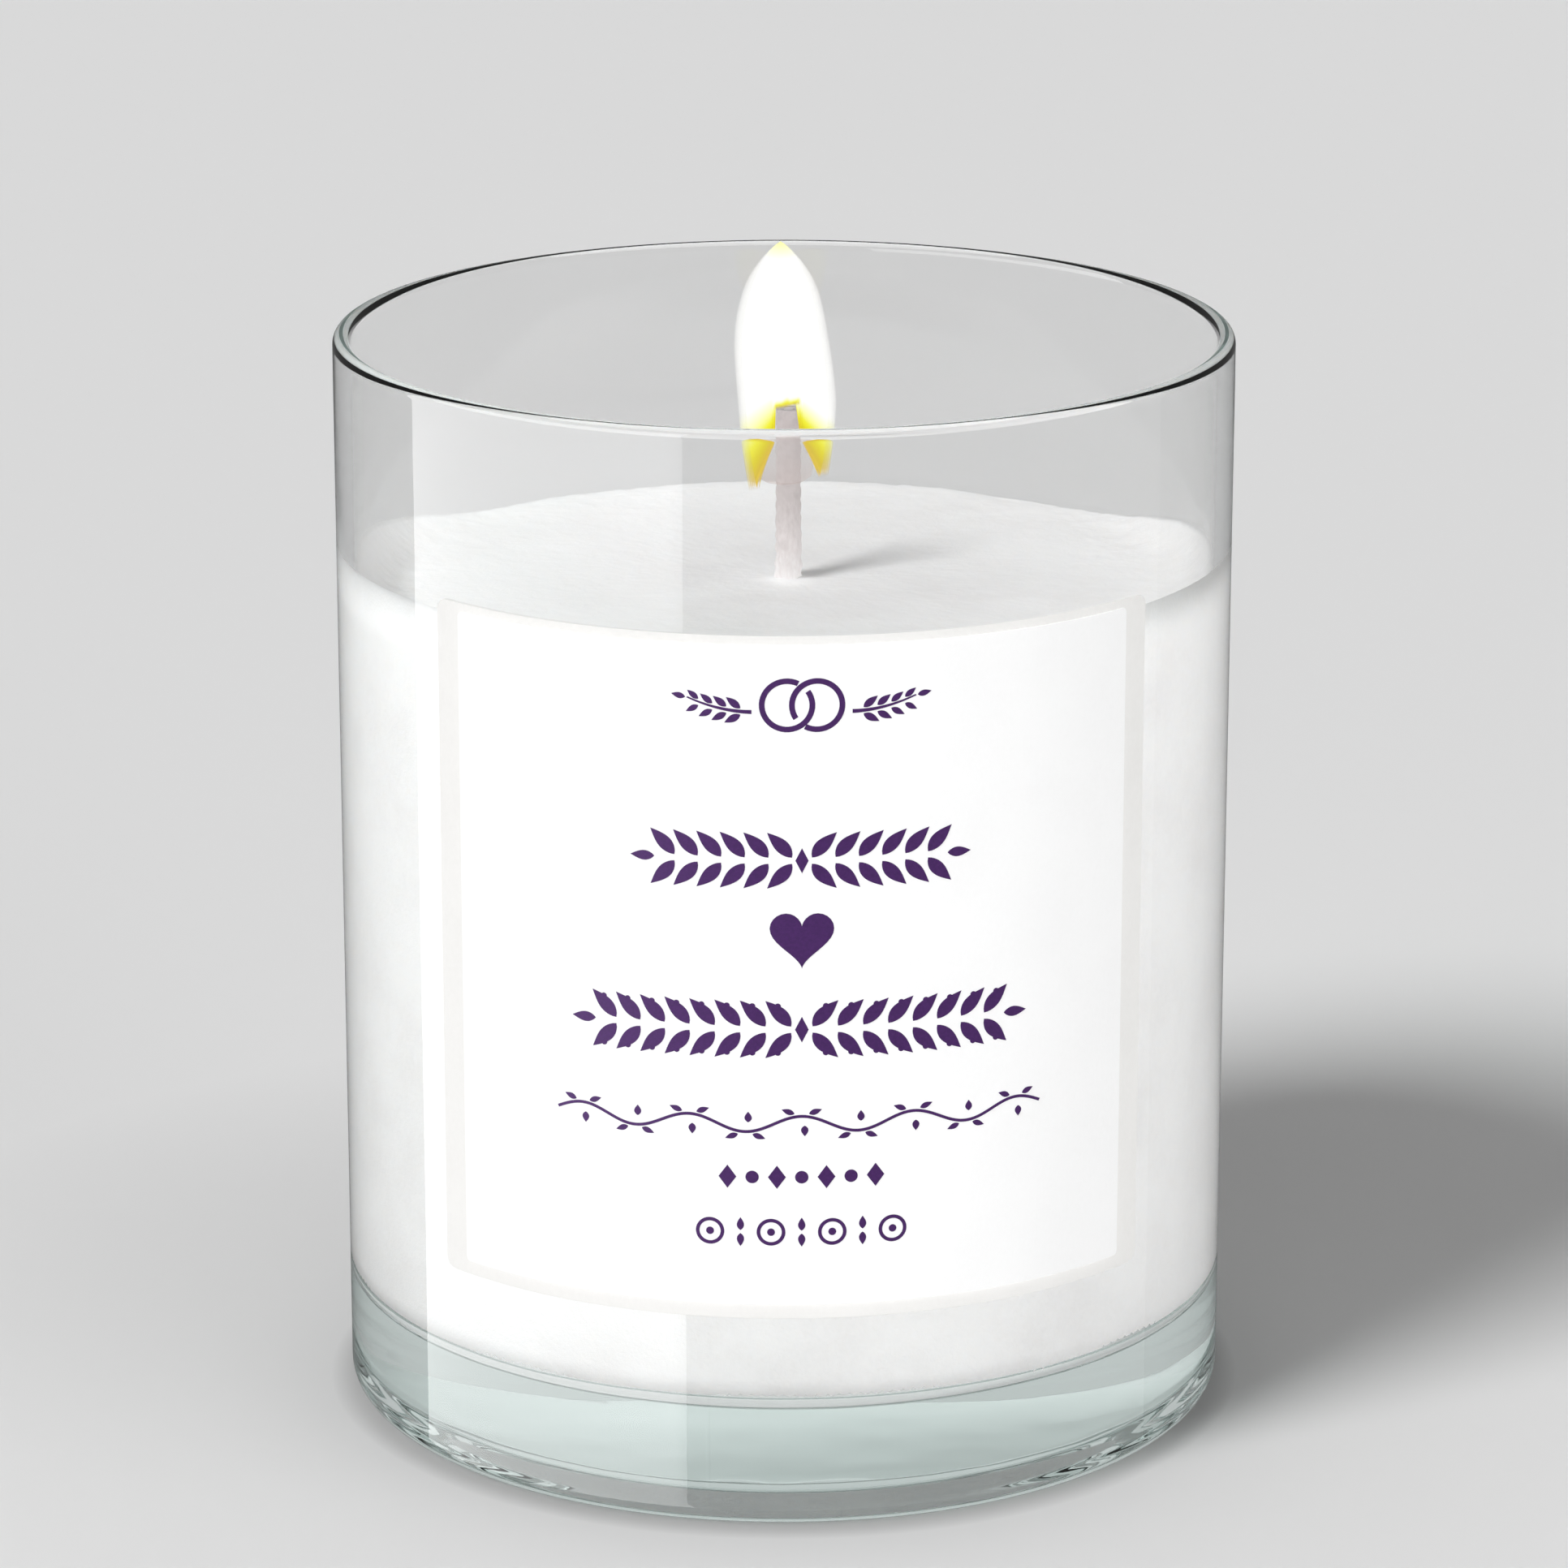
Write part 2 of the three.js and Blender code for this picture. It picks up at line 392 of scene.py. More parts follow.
def twisted_paper():
    n = Nodes("wick_paper")
    fibres = n.noise(0.2 * MM, detail=4.0, stretch=(1, 1, 0.4))
    colour = n.ramp(fibres, (0.3, (0.60, 0.55, 0.54)), (0.7, (0.74, 0.70, 0.69)))
    shader = n.principled(Base_Color=colour, Roughness=0.95, Normal=n.bump(fibres, 0.05 * MM))
    return n.done(shader)


def tinned_steel():
    n = Nodes("tinned_steel")
    drawn = n.noise(0.4 * MM, detail=3.0, stretch=(1, 8, 1))
    stains = n.noise(3 * MM, detail=3.0)
    colour = n.ramp(stains, (0.3, (0.58, 0.58, 0.57)), (0.7, (0.74, 0.74, 0.75)))
    shader = n.principled(
        Base_Color=colour,
        Metallic=1.0,
        Roughness=n.spread(drawn, 0.25, 0.45),
        Normal=n.bump(drawn, 0.01 * MM),
    )
    return n.done(shader)


def foam_material():
    n = Nodes("foam_pad")
    cells = n.noise(0.3 * MM, detail=2.0)
    colour = n.ramp(cells, (0.35, (0.78, 0.78, 0.74)), (0.65, (0.90, 0.90, 0.87)))
    shader = n.principled(Base_Color=colour, Roughness=0.95, Normal=n.bump(cells, 0.1 * MM))
    return n.done(shader)


def paper_material(name, light, dark, roughness):
    """Coated label paper: fine fibres in the bump and a trace of them in the colour."""
    n = Nodes(name)
    fibres = n.noise(0.35 * MM, detail=5.0, roughness=0.65, stretch=(1, 1, 0.6))
    clouds = n.noise(6 * MM, detail=2.0)
    colour = n.ramp(
        n.math("MULTIPLY_ADD", fibres, 0.5, n.math("MULTIPLY", clouds, 0.5)),
        (0.35, dark),
        (0.60, light),
    )
    shader = n.principled(
        Base_Color=colour,
        Roughness=n.spread(clouds, roughness - 0.05, roughness + 0.05),
        Specular_IOR_Level=0.3,
        Normal=n.bump(fibres, 0.012 * MM),
    )
    return n.done(shader)


def ink_material():
    n = Nodes("purple_ink")
    speckle = n.noise(0.3 * MM, detail=3.0)
    colour = n.ramp(speckle, (0.35, (0.050, 0.013, 0.095)), (0.65, (0.062, 0.016, 0.115)))
    shader = n.principled(
        Base_Color=colour,
        Roughness=n.spread(speckle, 0.45, 0.6),
        Specular_IOR_Level=0.3,
        Normal=n.bump(speckle, 0.004 * MM),
    )
    return n.done(shader)


# ---------------------------------------------------------------- glass


def glass_shape(x, y, z):
    """Slight waves in the pressed base: the punt and the floor inside aren't quite true."""
    radius = math.hypot(x, y)
    in_base = 0.4 * MM <= z <= FLOOR_TOP + INNER_CORNER
    if not in_base or radius >= GLASS_RADIUS - HEEL:
        return x, y, z
    wave = grain(x, y, z, 14 * MM, 3.0) + 0.4 * grain(x, y, z, 4 * MM, 7.0)
    return x, y, z + 0.04 * MM * wave * smoothstep(radius, 0, 6 * MM)


def glass_tumbler():
    ring_outer = GLASS_RADIUS - HEEL
    ring_inner = ring_outer - FOOT_RING
    punt_edge = ring_inner - 3 * PUNT
    profile = [(0, PUNT)]
    profile += line((0, PUNT), (punt_edge, PUNT), 14)
    for i in range(1, 9):
        t = i / 8
        profile.append((mix(punt_edge, ring_inner, t), PUNT * (1 - smoothstep(t, 0, 1))))
    profile += straight((ring_inner, 0), (ring_outer, 0), 4)
    profile += arc(ring_outer, HEEL, HEEL, -90, 0, 12)[1:]
    wall_top = GLASS_HEIGHT - LIP
    profile += straight((GLASS_RADIUS, HEEL), (GLASS_RADIUS, wall_top), 30)
    profile += arc(GLASS_RADIUS - LIP, wall_top, LIP, 0, 180, 16)[1:]
    corner_top = FLOOR_TOP + INNER_CORNER
    profile += straight((BORE, wall_top), (BORE, corner_top), 30)
    profile += arc(BORE - INNER_CORNER, corner_top, INNER_CORNER, 0, -90, 12)[1:]
    profile += straight((BORE - INNER_CORNER, FLOOR_TOP), (0, FLOOR_TOP), 14)
    piece = turned("glass_tumbler_shell", profile, 256, glass_shape)
    return finish_piece(piece, clear_glass(), ["glass_tumbler"])


# ---------------------------------------------------------------- wax


def wax_height(x, y):
    """The height of the wax's top: its level, the cling at the wall and the collar at the wick."""
    radius = math.hypot(x, y)
    turn = abs(math.atan2(x, -y))
    cling = mix(CLIMB_FRONT, CLIMB_REAR, smoothstep(turn, *CLIMB_TURN))
    edge = max(0.0, (radius - (WAX_RADIUS - CLIMB_WIDTH)) / CLIMB_WIDTH)
    collar = max(0.0, 1 - math.hypot(x - WICK_X, y) / COLLAR_WIDTH)
    fluff = 0.10 * grain(x, y, 0, 0.7 * MM) + 0.10 * grain(x, y, 0, 1.9 * MM, 5.0)
    swell = 0.15 * grain(x, y, 0, 9 * MM, 9.0)
    fluff *= mix(0.35, 1.0, smoothstep(radius, 0.7 * WAX_RADIUS, WAX_RADIUS))
    rough = (fluff + swell) * MM
    if y < 0:  # the line where it touches the glass at the front is clean
        rough *= 1 - 0.9 * smoothstep(radius, WAX_RADIUS - 0.8 * MM, WAX_RADIUS)
    return WAX_LEVEL + cling * edge**2 + COLLAR_RISE * collar**2 + rough


def wax_shape(x, y, z):
    if z < WAX_LEVEL - 0.5 * MM:
        return x, y, z
    return x, y, wax_height(x, y)


def wax_fill():
    """One closed body that touches the wall all round, with a fine mesh for its grainy top."""
    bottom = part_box("wax_fill")[0].z
    corner_z = bottom + INNER_CORNER
    profile = [(0, bottom)]
    profile += line((0, bottom), (WAX_RADIUS - INNER_CORNER, bottom), 20)
    profile += arc(WAX_RADIUS - INNER_CORNER, corner_z, INNER_CORNER, -90, 0, 12)[1:]
    profile += line((WAX_RADIUS, corner_z), (WAX_RADIUS, WAX_LEVEL - MM), 12)
    profile += [(WAX_RADIUS, WAX_LEVEL)]
    profile += line((WAX_RADIUS, WAX_LEVEL), (0.3 * MM, WAX_LEVEL), 100)
    profile += [(0, WAX_LEVEL)]
    piece = turned("wax_fill_body", profile, 480, wax_shape)
    return finish_piece(piece, wax_material(), ["wax_fill"])


# ---------------------------------------------------------------- wick


def braid_radius(angle, z):
    """The wick's outside: four strands each way that pass over and under each other."""
    strands, pitch = 4, 5.2 * MM
    left = math.cos(strands * angle + TURN * strands * z / pitch)
    right = math.cos(strands * angle - TURN * strands * z / pitch)
    strand = max(left * (1 if right < 0.3 else 0.6), right)
    soaked = 1 - smoothstep(z, WAX_LEVEL + 1 * MM, WAX_LEVEL + 9 * MM)
    x, y = math.sin(angle), math.cos(angle)
    crust = max(0.0, grain(x, y, z / MM, 0.8) + 0.35) * 0.22 * MM * soaked
    hair = 0.03 * MM * grain(3 * x, 3 * y, z / MM, 0.25, 4.0)
    return WICK_RADIUS + 0.06 * MM * strand * (1 - 0.7 * soaked) + crust + hair


def wick_braid():
    sides = 56
    bore = CORE_RADIUS + 0.08 * MM
    heights = [mix(WICK_BOTTOM, WICK_TOP, i / 420) for i in range(421)]
    points, faces = [], []
    for z in heights:
        for k in range(sides):
            a = TURN * k / sides
            r = braid_radius(a, z)
            points.append((WICK_X + r * math.sin(a), -r * math.cos(a), z))
    rows = len(heights)
    for z in (WICK_TOP, WICK_BOTTOM):
        for k in range(sides):
            a = TURN * k / sides
            points.append((WICK_X + bore * math.sin(a), -bore * math.cos(a), z))
    for row in range(rows + 1):
        for k in range(sides):
            n = (k + 1) % sides
            low, high = row * sides, (row + 1) * sides
            faces.append((low + k, low + n, high + n, high + k))
    last = (rows + 1) * sides
    for k in range(sides):
        n = (k + 1) % sides
        faces.append((last + k, last + n, n, k))
    piece = mesh_piece("wick_braid_cotton", points, faces)
    return finish_piece(piece, cotton_material(), ["wick_braid"])


# ---------------------------------------------------------------- label


def around(u, z, radius):
    """A point on the label: u along its curve from the middle of the front, z up."""
    a = u / GLASS_RADIUS
    return (radius * math.sin(a), -radius * math.cos(a), z)


def wrapped_sheet(name, width, corner, thickness, outer, low, high):
    """A sheet with round corners bent round the glass, with slightly eased edges."""
    inner = outer - thickness
    half = width / 2
    turn = [math.radians(90 * i / 8) for i in range(9)]
    left = [(-half + corner - corner * math.cos(a), corner - corner * math.sin(a)) for a in turn]
    middle = [(-half + corner + i * (width - 2 * corner) / 96, 0) for i in range(1, 96)]
    columns = left + middle + [(-u, inset) for u, inset in reversed(left)]
    ease = 0.03 * MM
    loops = []
    for u, inset in columns:
        bottom, top = low + inset, high - inset
        loop = [
            around(u + LABEL_SHIFT, bottom + ease, outer),
            around(u + LABEL_SHIFT, top - ease, outer),
            around(u + LABEL_SHIFT, top, outer - ease),
            around(u + LABEL_SHIFT, top, inner),
            around(u + LABEL_SHIFT, bottom, inner),
            around(u + LABEL_SHIFT, bottom, outer - ease),
        ]
        loops.append(loop)
    points = [p for loop in loops for p in loop]
    size = len(loops[0])
    faces = []
    for c in range(len(loops) - 1):
        for k in range(size):
            n = (k + 1) % size
            faces.append((c * size + k, (c + 1) * size + k, (c + 1) * size + n, c * size + n))
    faces.append(tuple(range(size)))
    faces.append(tuple((len(loops) - 1) * size + k for k in reversed(range(size))))
    return mesh_piece(name, points, faces, smooth=False)


def label():
    backing = wrapped_sheet(
        "label_backing_sheet",
        BACKING_WIDTH,
        BACKING_CORNER,
        BACKING_THICKNESS,
        BACKING_OUTER,
        backing_low.z,
        backing_high.z,
    )
    stock = paper_material("label_stock", (0.880, 0.872, 0.855), (0.852, 0.844, 0.826), 0.55)
    finish_piece(backing, stock, ["label_backing"])
    face = wrapped_sheet(
        "label_face_sheet",
        FACE_WIDTH,
        FACE_CORNER,
        FACE_THICKNESS,
        FACE_OUTER,
        face_low.z,
        face_high.z,
    )
    print_stock = paper_material("label_print_stock", (0.985, 0.985, 0.985), (0.96, 0.96, 0.96), 0.5)
    finish_piece(face, print_stock, ["label_face"])
    for sheet in (backing, face):
        sheet.visible_shadow = False  # so that no dark band lies on the wax under the label


# ---------------------------------------------------------------- print

# An outline is a list of (u, v) points in millimetres. A motif is a list of outlines.


def placed(outlines, u=0.0, v=0.0, angle=0.0, flip=1):
    """Outlines turned by an angle in degrees, mirrored if flip is -1, and moved to (u, v)."""
    c, s = math.cos(math.radians(angle)), math.sin(math.radians(angle))
    made = []
    for outline in outlines:
        turned_points = [(u + flip * (x * c - y * s), v + x * s + y * c) for x, y in outline]
        made.append(turned_points if flip > 0 else turned_points[::-1])
    return made


def leaf(length, width, bend=0.0):
    """A pointed leaf that grows along +v from (0, 0), bent to the side by bend."""
    steps = 14
    right, left = [], []
    for i in range(steps + 1):
        t = i / steps
        rib = bend * t * t
        half = width / 2 * math.sin(math.pi * t**0.8)
        right.append((rib + half, length * t))
        if 0 < i < steps:
            left.append((rib - half, length * t))
    return right + left[::-1]


def ring(radius, width, start=0.0, end=360.0):
    """A stroke along an arc, as short outlines side by side."""
    steps = max(8, int(abs(end - start) / 8))
    angles = [math.radians(mix(start, end, i / steps)) for i in range(steps + 1)]
    outer, inner = radius + width / 2, radius - width / 2
    return [
        [
            (outer * math.cos(a), outer * math.sin(a)),
            (outer * math.cos(b), outer * math.sin(b)),
            (inner * math.cos(b), inner * math.sin(b)),
            (inner * math.cos(a), inner * math.sin(a)),
        ]
        for a, b in zip(angles, angles[1:])
    ]


def stroke(path, widths):
    """A stroke of changing width along a path."""
    sides = []
    for i, (x, y) in enumerate(path):
        ahead = path[min(i + 1, len(path) - 1)]
        behind = path[max(i - 1, 0)]
        dx, dy = ahead[0] - behind[0], ahead[1] - behind[1]
        size = math.hypot(dx, dy)
        w = widths[i] / 2
        sides.append(((x - dy / size * w, y + dx / size * w), (x + dy / size * w, y - dx / size * w)))
    return [[a[0], a[1], b[1], b[0]] for a, b in zip(sides, sides[1:])]


def dot(radius):
    return [[(radius * math.cos(TURN * i / 20), radius * math.sin(TURN * i / 20)) for i in range(20)]]


def lozenge(width, height):
    return [[(width / 2, 0), (0, height / 2), (-width / 2, 0), (0, -height / 2)]]


def heart(size):
    """A heart as tall as size, centred."""
    points = []
    for i in range(48):
        a = TURN * i / 48
        x = 16 * math.sin(a) ** 3
        y = 13 * math.cos(a) - 5 * math.cos(2 * a) - 2 * math.cos(3 * a) - math.cos(4 * a)
        points.append((x * size / 29, (y + 2.5) * size / 29))
    return [points[::-1]]


def sprig(length, height):
    """A stem that rises in a curve from (0, 0) along +u, with pairs of small leaves."""
    steps = 22
    path = [(length * i / steps, height * (i / steps) ** 2 * 0.35) for i in range(steps + 1)]
    widths = [mix(0.34, 0.12, i / steps) for i in range(steps + 1)]
    made = stroke(path, widths)
    for k in range(4):
        t = (k + 0.7) / 4.6
        x, y = length * t, height * t * t * 0.35
        size = mix(0.50, 0.34, t) * height
        made += placed([leaf(size, size * 0.42)], x + 0.1, y + 0.28, -52)
        made += placed([leaf(size, size * 0.42)], x + 0.1, y - 0.28, -118)
    made += placed([leaf(height * 0.38, height * 0.16)], length + 0.15, height * 0.35, -78)
    return made


def rings_and_sprigs():
    """Two linked wedding rings between two sprigs."""
    radius, gap = 2.1, 2.5
    made = placed(ring(radius, 0.48, 64, 395), -gap / 2)
    made += placed(ring(radius, 0.48, -118, 213), gap / 2)
    for flip in (1, -1):
        made += placed(sprig(5.4, 3.2), flip * 4.2, -0.6, 0, flip)
    return made


def laurel(pairs, spacing, size, berries=False):
    """A bold laurel garland, mirrored at its middle, with a leaf on each side at every step."""
    half = []
    for k in range(pairs):
        u = spacing * (k + 0.42)
        for side in (1, -1):
            grown = leaf(0.60 * size, 0.235 * size, 0.06 * size * side)
            half += placed([grown], u, side * 0.055 * size, -90 + side * 52)
            if berries:
                half += placed(dot(0.05 * size), u + 0.52 * spacing, side * 0.40 * size)
    half += placed([leaf(0.42 * size, 0.17 * size)], spacing * (pairs + 0.30), 0, -90)
    made = placed(half) + placed(half, flip=-1)
    made += placed(lozenge(0.22 * size, 0.44 * size))
    return made


def vine(length, height):
    """A long thin wavy stem with a leaf at every turn."""
    waves = 9
    steps = 180
    path = []
    for i in range(steps + 1):
        t = i / steps
        path.append(((t - 0.5) * length, 0.22 * height * math.sin(TURN * waves / 2 * t)))
    made = stroke(path, [0.26] * (steps + 1))
    for k in range(waves):
        t = (k + 0.5) / waves
        side = 1 if k % 2 == 0 else -1
        x, y = (t - 0.5) * length, 0.22 * height * side
        made += placed([leaf(0.95, 0.62)], x + 0.25, -y * 0.2, 0 if side < 0 else 180)
        made += placed([leaf(1.15, 0.50)], x + 0.62, y + side * 0.22, -70 if side > 0 else -110)
        made += placed([leaf(1.15, 0.50)], x - 0.62, y + side * 0.22, 70 if side > 0 else 110)
    return made


def beads(count, spacing, size):
    """A short row of bold lozenges and dots."""
    made = []
    for i in range(count):
        u = spacing * (i - (count - 1) / 2)
        bead = lozenge(size * 0.72, size) if i % 2 == 0 else dot(size * 0.27)
        made += placed(bead, u)
    return made


def rosettes(count, spacing, size):
    """A row of small open rings, each with a dot in the middle, and leaves between them."""
    made = []
    for i in range(count):
        u = spacing * (i - (count - 1) / 2)
        if i % 2 == 0:
            made += placed(ring(size * 0.38, size * 0.11), u)
            made += placed(dot(size * 0.12), u)
        else:
            made += placed([leaf(size * 0.42, size * 0.22)], u, 0.05 * size)
            made += placed([leaf(size * 0.42, size * 0.22)], u, -0.05 * size, 180)
    return made


def printed(name, outlines, u, z):
    """Thin closed solids of ink on the label's face, from flat outlines centred on (u, z)."""
    flat = bmesh.new()
    for outline in outlines:
        corners = [flat.verts.new((x * MM + u, y * MM + z, 0)) for x, y in outline]
        flat.faces.new(corners)
    flat.normal_update()
    for found in flat.faces:
        if found.normal.z < 0:
            found.normal_flip()
    bmesh.ops.remove_doubles(flat, verts=flat.verts, dist=0.001 * MM)
    bmesh.ops.triangulate(flat, faces=flat.faces, ngon_method="EAR_CLIP")
    reach = max(abs(v.co.x) for v in flat.verts)
    cuts = int(reach / INK_STRIP) + 1
    for k in range(-cuts, cuts + 1):
        everything = list(flat.verts) + list(flat.edges) + list(flat.faces)
        bmesh.ops.bisect_plane(
            flat,
            geom=everything,
            dist=0.0005 * MM,
            plane_co=(k * INK_STRIP, 0, 0),
            plane_no=(1, 0, 0),
        )
    # Until it is bent, a point's z only says whether it is on the label (0) or on top of the ink (1)
    grown = bmesh.ops.extrude_face_region(flat, geom=list(flat.faces))
    for item in grown["geom"]:
        if isinstance(item, bmesh.types.BMVert):
            item.co.z = 1.0
    bmesh.ops.recalc_face_normals(flat, faces=flat.faces)
    for v in flat.verts:
        radius = FACE_OUTER + (INK_RISE if v.co.z > 0.5 else -INK_SINK)
        v.co = Vector(around(v.co.x, v.co.y, radius))
    bmesh.ops.recalc_face_normals(flat, faces=flat.faces)
    mesh = bpy.data.meshes.new(name)
    flat.to_mesh(mesh)
    flat.free()
    piece = bpy.data.objects.new(name, mesh)
    bpy.context.scene.collection.objects.link(piece)
    return piece


def print_on_label():
    """Seven rows of plain ornaments down the middle of the label."""
    rows = [
        ("print_rings", rings_and_sprigs(), 24.2),
        ("print_laurel_narrow", laurel(6, 1.98, 5.0), 10.6),
        ("print_heart", heart(4.9), 3.5),
        ("print_laurel_wide", laurel(8, 2.15, 5.2, True), -4.4),
        ("print_vine", vine(43, 3.2), -12.9),
        ("print_beads", beads(7, 2.1, 2.1), -17.7),
        ("print_rosettes", rosettes(7, 2.6, 2.8), -22.7),
    ]
    ink = ink_material()
    middle = (face_low.z + face_high.z) / 2
    for name, outlines, v in rows:
        piece = printed(name, outlines, PRINT_SHIFT, middle + v * MM)
        finish_piece(piece, ink)


# ---------------------------------------------------------------- flame

FLAME_TIP = 105.8 * MM
FLAME_WIDEST = 92 * MM
FLAME_REACH = 3.7 * MM
FLAME_DOME = 101 * MM  # the top of the hollow inside
FLAME_ARCH = WICK_TOP + 1.0 * MM  # the top of the slot in front of and behind the wick
LOBE_TOP = 88.5 * MM  # where the lobes beside the wick begin
LOBE_FOOT = 83.9 * MM
LOBE_TILT = 0.2  # the right lobe ends higher than the left one, by this slope
SLOT = 0.33  # half the width of the slot, as a share of the flame's radius
FLAME_SHIFT = 0.3 * MM  # to the right, at the wick
HALOS = 4
HALO_STEP = 0.17 * MM  # how much wider each halo is than the one before
HALO_OPACITY = 0.24
# The veil's profile, as (radius, height) in millimetres
VEIL = [(0, 84.2), (1.8, 84.3), (2.5, 84.8), (2.7, 86), (2.3, 88.5), (1.3, 90.2), (0, 90.6)]


def flame_radius(z):
    """The flame's half-width by height: full near the bottom, drawn to a soft point above."""
    if z > FLAME_WIDEST:
        t = min(1.0, (z - FLAME_WIDEST) / (FLAME_TIP - FLAME_WIDEST))
        return FLAME_REACH * (1 - t**2.6) ** 0.72
    t = (FLAME_WIDEST - z) / (FLAME_WIDEST - LOBE_FOOT)
    return FLAME_REACH * (1 - 0.24 * t**1.7)


def flame_middle(z):
    """The flame leans a little to the left towards its tip."""
    return mix(FLAME_SHIFT, -0.30 * MM, smoothstep(z, 90 * MM, 99 * MM))


def flame_foot(share):
    """The height of the flame's lower edge, by the sideways share of its radius."""
    lobe = mix(LOBE_TOP, LOBE_FOOT, max(0.0, (share - SLOT) / (1 - SLOT)))
    return mix(FLAME_ARCH, lobe, smoothstep(share, SLOT - 0.06, SLOT + 0.01))


def flame_layer(name, extra):
    """One closed layer of the flame, extra wider than its core all over."""
    sides, rows = 160, 60
    tip = FLAME_TIP + 0.4 * extra
    points = []
    for i in range(rows):
        for k in range(sides):
            a = TURN * k / sides
            foot = flame_foot(abs(math.sin(a))) + LOBE_TILT * FLAME_REACH * math.sin(a)
            z = mix(foot - 0.25 * MM, tip, 1 - (1 - i / rows) ** 1.6)
            r = flame_radius(z) + extra * (1 - smoothstep(z, 100 * MM, tip) ** 2)
            points.append((flame_middle(z) + r * math.sin(a), -r * math.cos(a), z))
    faces = []
    for i in range(rows - 1):
        for k in range(sides):
            n = (k + 1) % sides
            faces.append((i * sides + k, i * sides + n, (i + 1) * sides + n, (i + 1) * sides + k))
    dome, top = len(points), len(points) + 1
    points.append((flame_middle(FLAME_DOME), 0, FLAME_DOME))
    points.append((flame_middle(tip), 0, tip))
    last = (rows - 1) * sides
    for k in range(sides):
        n = (k + 1) % sides
        faces.append((dome, n, k))
        faces.append((last + k, last + n, top))
    return mesh_piece(name, points, faces)


def flame_foot_nodes(n, x, share):
    """The same as flame_foot, as nodes, with the tilt of the lobes."""
    lobe = n.between(share, SLOT, 1.0, LOBE_TOP, LOBE_FOOT)
    beside = n.between(share, SLOT - 0.06, SLOT + 0.01, kind="SMOOTHSTEP")
    lobe_drop = n.math("MULTIPLY", beside, n.math("SUBTRACT", lobe, FLAME_ARCH))
    return n.math("MULTIPLY_ADD", x, LOBE_TILT, n.math("ADD", lobe_drop, FLAME_ARCH))


def flame_colour(n, z, share, foot):
    """Deep yellow at the foot, white above, and pale yellow at the very tip."""
    top_drop = n.math("MULTIPLY", n.math("POWER", share, 1.3), -4.0 * MM)
    yellow_top = n.math("ADD", top_drop, FLAME_ARCH + 0.75 * MM)
    band = n.math("MAXIMUM", n.math("SUBTRACT", yellow_top, foot), 0.6 * MM)
    above = n.math("SUBTRACT", z, foot)
    warm = n.ramp(
        n.math("DIVIDE", above, n.math("MULTIPLY", band, 1.4)),
        (0.0, (0.72, 0.48, 0.06)),
        (0.25, (0.72, 0.60, 0.02)),
        (0.5, (0.88, 0.86, 0.05)),
        (0.7, (0.97, 0.98, 0.45)),
        (0.95, (1.0, 1.0, 0.98)),
    )
    near_tip = n.between(z, FLAME_TIP - 1.3 * MM, FLAME_TIP)
    return n.times(warm, n.ramp(near_tip, (0.0, (1.0, 1.0, 1.0)), (1.0, (1.0, 0.985, 0.42))))


def flame_material(name, opacity):
    """Glowing gas that fades out at its foot."""
    n = Nodes(name)
    x, y, z = n.parts()
    x = n.math("SUBTRACT", x, FLAME_SHIFT)
    reach = n.math("ADD", n.distance(x, y), 0.01 * MM)
    share = n.math("DIVIDE", n.math("ABSOLUTE", x), reach)
    foot = flame_foot_nodes(n, x, share)
    glow = n.glow(flame_colour(n, z, share, foot), 1.05)
    above = n.math("SUBTRACT", z, foot)
    solid = n.between(above, 0.05 * MM, 0.5 * MM, 0.0, opacity)
    return n.done(n.blend(solid, n.add("BsdfTransparent").outputs[0], glow))


def veil_material():
    """The faint rosy gas between the wick and the flame's lobes, densest at its lower edge."""
    n = Nodes("flame_veil")
    density = n.between(n.parts()[2], 84.2 * MM, 87.5 * MM, 0.22, 0.04)
    mottled = n.math("MULTIPLY", density, n.spread(n.noise(1.2 * MM), 0.7, 1.3))
    glow = n.glow((0.60, 0.46, 0.42, 1))
    return n.done(n.blend(mottled, n.add("BsdfTransparent").outputs[0], glow))


def flame():
    """A solid core inside thin halos, which soften its edge, and the veil at its foot."""
    core = flame_layer("flame_core", 0)
    pieces = [finish_piece(core, flame_material("flame_core", 1))]
    halo = flame_material("flame_halo", HALO_OPACITY)
    for i in range(1, HALOS + 1):
        layer = flame_layer(f"flame_halo_{i}", i * HALO_STEP)
        pieces.append(finish_piece(layer, halo))
    veil = turned("flame_veil", [(r * MM, z * MM) for r, z in VEIL], 48)
    pieces.append(finish_piece(veil, veil_material()))
    for piece in pieces:
        piece.visible_shadow = False
        piece.visible_diffuse = False
        piece.visible_glossy = False


# ---------------------------------------------------------------- stage


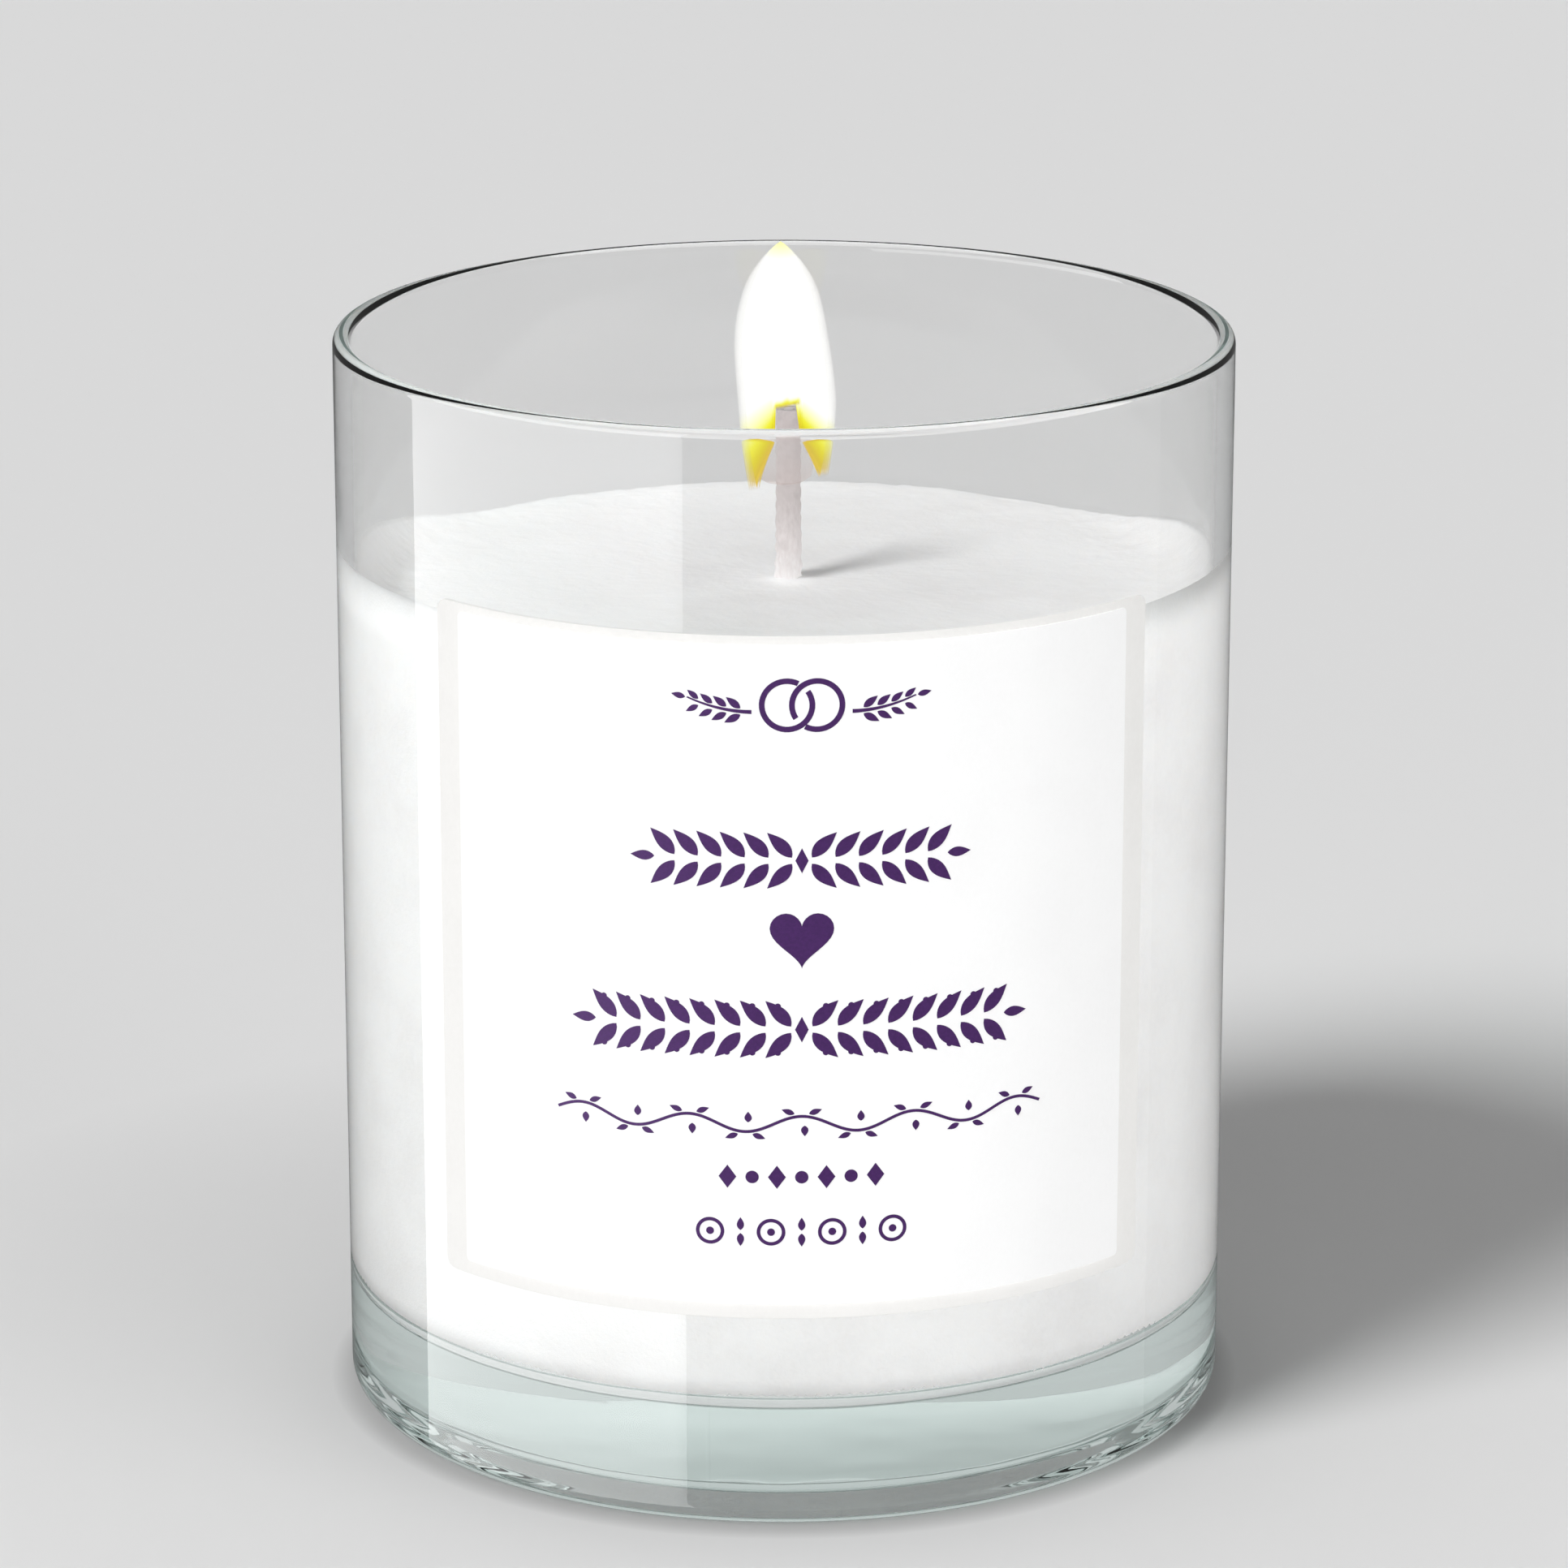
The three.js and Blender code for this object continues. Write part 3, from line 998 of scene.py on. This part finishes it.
def floor_material():
    """A pale table top with painted shade, darker close to the glass, where the room's light is
    hidden from it.

    The light that the base throws on to the table isn't traced, so a weak painted glow stands for it
    where the table is seen through the glass; there the table is also painted a little darker.
    """
    n = Nodes("table_top")
    x, y, _ = n.parts()
    reach = n.distance(x, y)
    mottled = n.spread(n.noise(0.3), 0.925, 0.935)
    # Painted shade: the table darkens out to 10 cm from the glass's axis, and a painted contact
    # shadow darkens a thin ring round the foot.
    near = n.between(reach, 0.042, 0.10, 0.80, 1.0)
    painted_contact_shadow = n.between(reach, 0.038, 0.042, 0.45, 1.0)
    tone = n.math("MULTIPLY", mottled, n.math("MULTIPLY", near, painted_contact_shadow))
    through_glass = n.add("LightPath").outputs["Is Transmission Ray"]
    # Painted shade: the table is drawn darker where it is seen through the glass.
    seen_tone = n.math("MULTIPLY", tone, n.spread(through_glass, 1.0, 0.89))
    # Painted light: the table glows faintly close to the glass, only where it is seen through the
    # glass.
    painted_glow = n.math("MULTIPLY", through_glass, n.between(reach, 0.04, 0.13, 0.42, 0.0))
    shader = n.principled(
        Base_Color=seen_tone,
        Roughness=0.9,
        Specular_IOR_Level=0.0,
        Emission_Color=(0.97, 1.0, 0.99),
        Emission_Strength=painted_glow,
    )
    return n.done(shader)


def floor():
    size = 6.0
    points = [(-size, -size, 0), (size, -size, 0), (size, size, 0), (-size, size, 0)]
    plane = mesh_piece("table_top", points, [(0, 1, 2, 3)])
    plane.location.z = -0.05 * MM
    plane.data.materials.append(floor_material())
    plane.visible_glossy = False


def reflecting_panel(panel, nodes, radiance):
    """A glowing panel that is seen only in reflections."""
    panel.data.materials.append(nodes.done(nodes.glow(strength=radiance)))
    panel.visible_camera = False
    panel.visible_diffuse = False
    panel.visible_transmission = False
    panel.visible_shadow = False


def reflector(name, azimuth_from, azimuth_to, radiance, fade=0.0):
    """A tall curved panel. Azimuths are from the front, + to the right.

    Its light fades out over the last stretch before azimuth_to, fade degrees long.
    """
    distance, half_height, steps = 0.9, 0.7, 24
    points, faces = [], []
    for i in range(steps + 1):
        a = math.radians(mix(azimuth_from, azimuth_to, i / steps))
        for z in (-half_height, half_height):
            points.append((distance * math.sin(a), -distance * math.cos(a), z))
    for i in range(steps):
        faces.append((2 * i, 2 * i + 1, 2 * i + 3, 2 * i + 2))
    n = Nodes(name)
    if fade:
        x, y, _ = n.parts()
        azimuth = n.math("ARCTAN2", x, n.math("MULTIPLY", y, -1))
        start, end = math.radians(azimuth_to - fade), math.radians(azimuth_to)
        radiance = n.between(azimuth, start, end, radiance, 0.0, "SMOOTHSTEP")
    reflecting_panel(mesh_piece(name, points, faces), n, radiance)


def reflector_above(radiance):
    """A round panel overhead, which lights up the glass's lip."""
    disc = turned("reflector_above", [(0, 0.9), (0.25, 0.9), (0.5, 0.9)], 48)
    reflecting_panel(disc, Nodes("reflector_above"), radiance)


def sun(name, azimuth, elevation, energy, spread, casts_shadow):
    """A soft distant light. Its azimuth is from the front, + to the right, all in degrees."""
    data = bpy.data.lights.new(name, "SUN")
    data.energy = energy
    data.angle = math.radians(spread)
    data.use_shadow = casts_shadow
    made = bpy.data.objects.new(name, data)
    bpy.context.scene.collection.objects.link(made)
    a, e = math.radians(azimuth), math.radians(elevation)
    towards = Vector((math.sin(a) * math.cos(e), -math.cos(a) * math.cos(e), math.sin(e)))
    made.rotation_mode = "QUATERNION"
    made.rotation_quaternion = towards.to_track_quat("Z", "Y")
    made.visible_glossy = False
    made.visible_transmission = False


def studio():
    """The room around: pale where it is seen, directly or through glass, and dimmer as a light."""
    as_light, as_seen = 0.14, 0.66
    world = bpy.data.worlds.new("studio")
    bpy.context.scene.world = world
    world.use_nodes = True
    tree = world.node_tree
    path = tree.nodes.new("ShaderNodeLightPath")
    seen = tree.nodes.new("ShaderNodeMath")
    seen.operation = "MAXIMUM"
    tree.links.new(path.outputs["Is Camera Ray"], seen.inputs[0])
    tree.links.new(path.outputs["Is Transmission Ray"], seen.inputs[1])
    level = tree.nodes.new("ShaderNodeMapRange")
    tree.links.new(seen.outputs[0], level.inputs["Value"])
    level.inputs["To Min"].default_value = as_light
    level.inputs["To Max"].default_value = as_seen
    background = tree.nodes["Background"]
    background.inputs["Color"].default_value = (1, 1, 1, 1)
    tree.links.new(level.outputs["Result"], background.inputs["Strength"])


def lights():
    """A soft key light from the left and the front, a low fill from the right, and the panels."""
    sun("key_light", -48, 41, 2.4, 21, True)
    sun("fill_light", 55, 7, 1.8, 60, False)
    reflector("reflector_left", -106, -17, 3.2, 12)
    reflector("reflector_middle", -25, 108, 0.35)
    reflector_above(3.0)


def camera():
    looks_down = math.radians(16.358)
    data = bpy.data.cameras.new("camera")
    data.sensor_width = 36
    data.lens = 146.737
    data.clip_start, data.clip_end = 0.05, 30
    made = bpy.data.objects.new("camera", data)
    made.location = (0, -0.55535, 0.21888)
    made.rotation_euler = (math.radians(90) - looks_down, 0, 0)
    bpy.context.scene.collection.objects.link(made)
    bpy.context.scene.camera = made


def light_paths():
    scene = bpy.context.scene
    scene.view_settings.view_transform = "Standard"
    scene.cycles.max_bounces = 20
    scene.cycles.transmission_bounces = 20
    scene.cycles.glossy_bounces = 12
    scene.cycles.transparent_max_bounces = 24


def plain_pieces():
    """The pieces that keep their CAD shape and only get a material."""
    materials = {
        "wick_core": twisted_paper(),
        "wick_sustainer": tinned_steel(),
        "sustainer_sticker": foam_material(),
    }
    for name, material in materials.items():
        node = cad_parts[name]
        node.data.materials.clear()
        node.data.materials.append(material)


camera()
light_paths()
floor()
studio()
lights()
glass_tumbler()
wax_fill()
wick_braid()
label()
print_on_label()
flame()
plain_pieces()
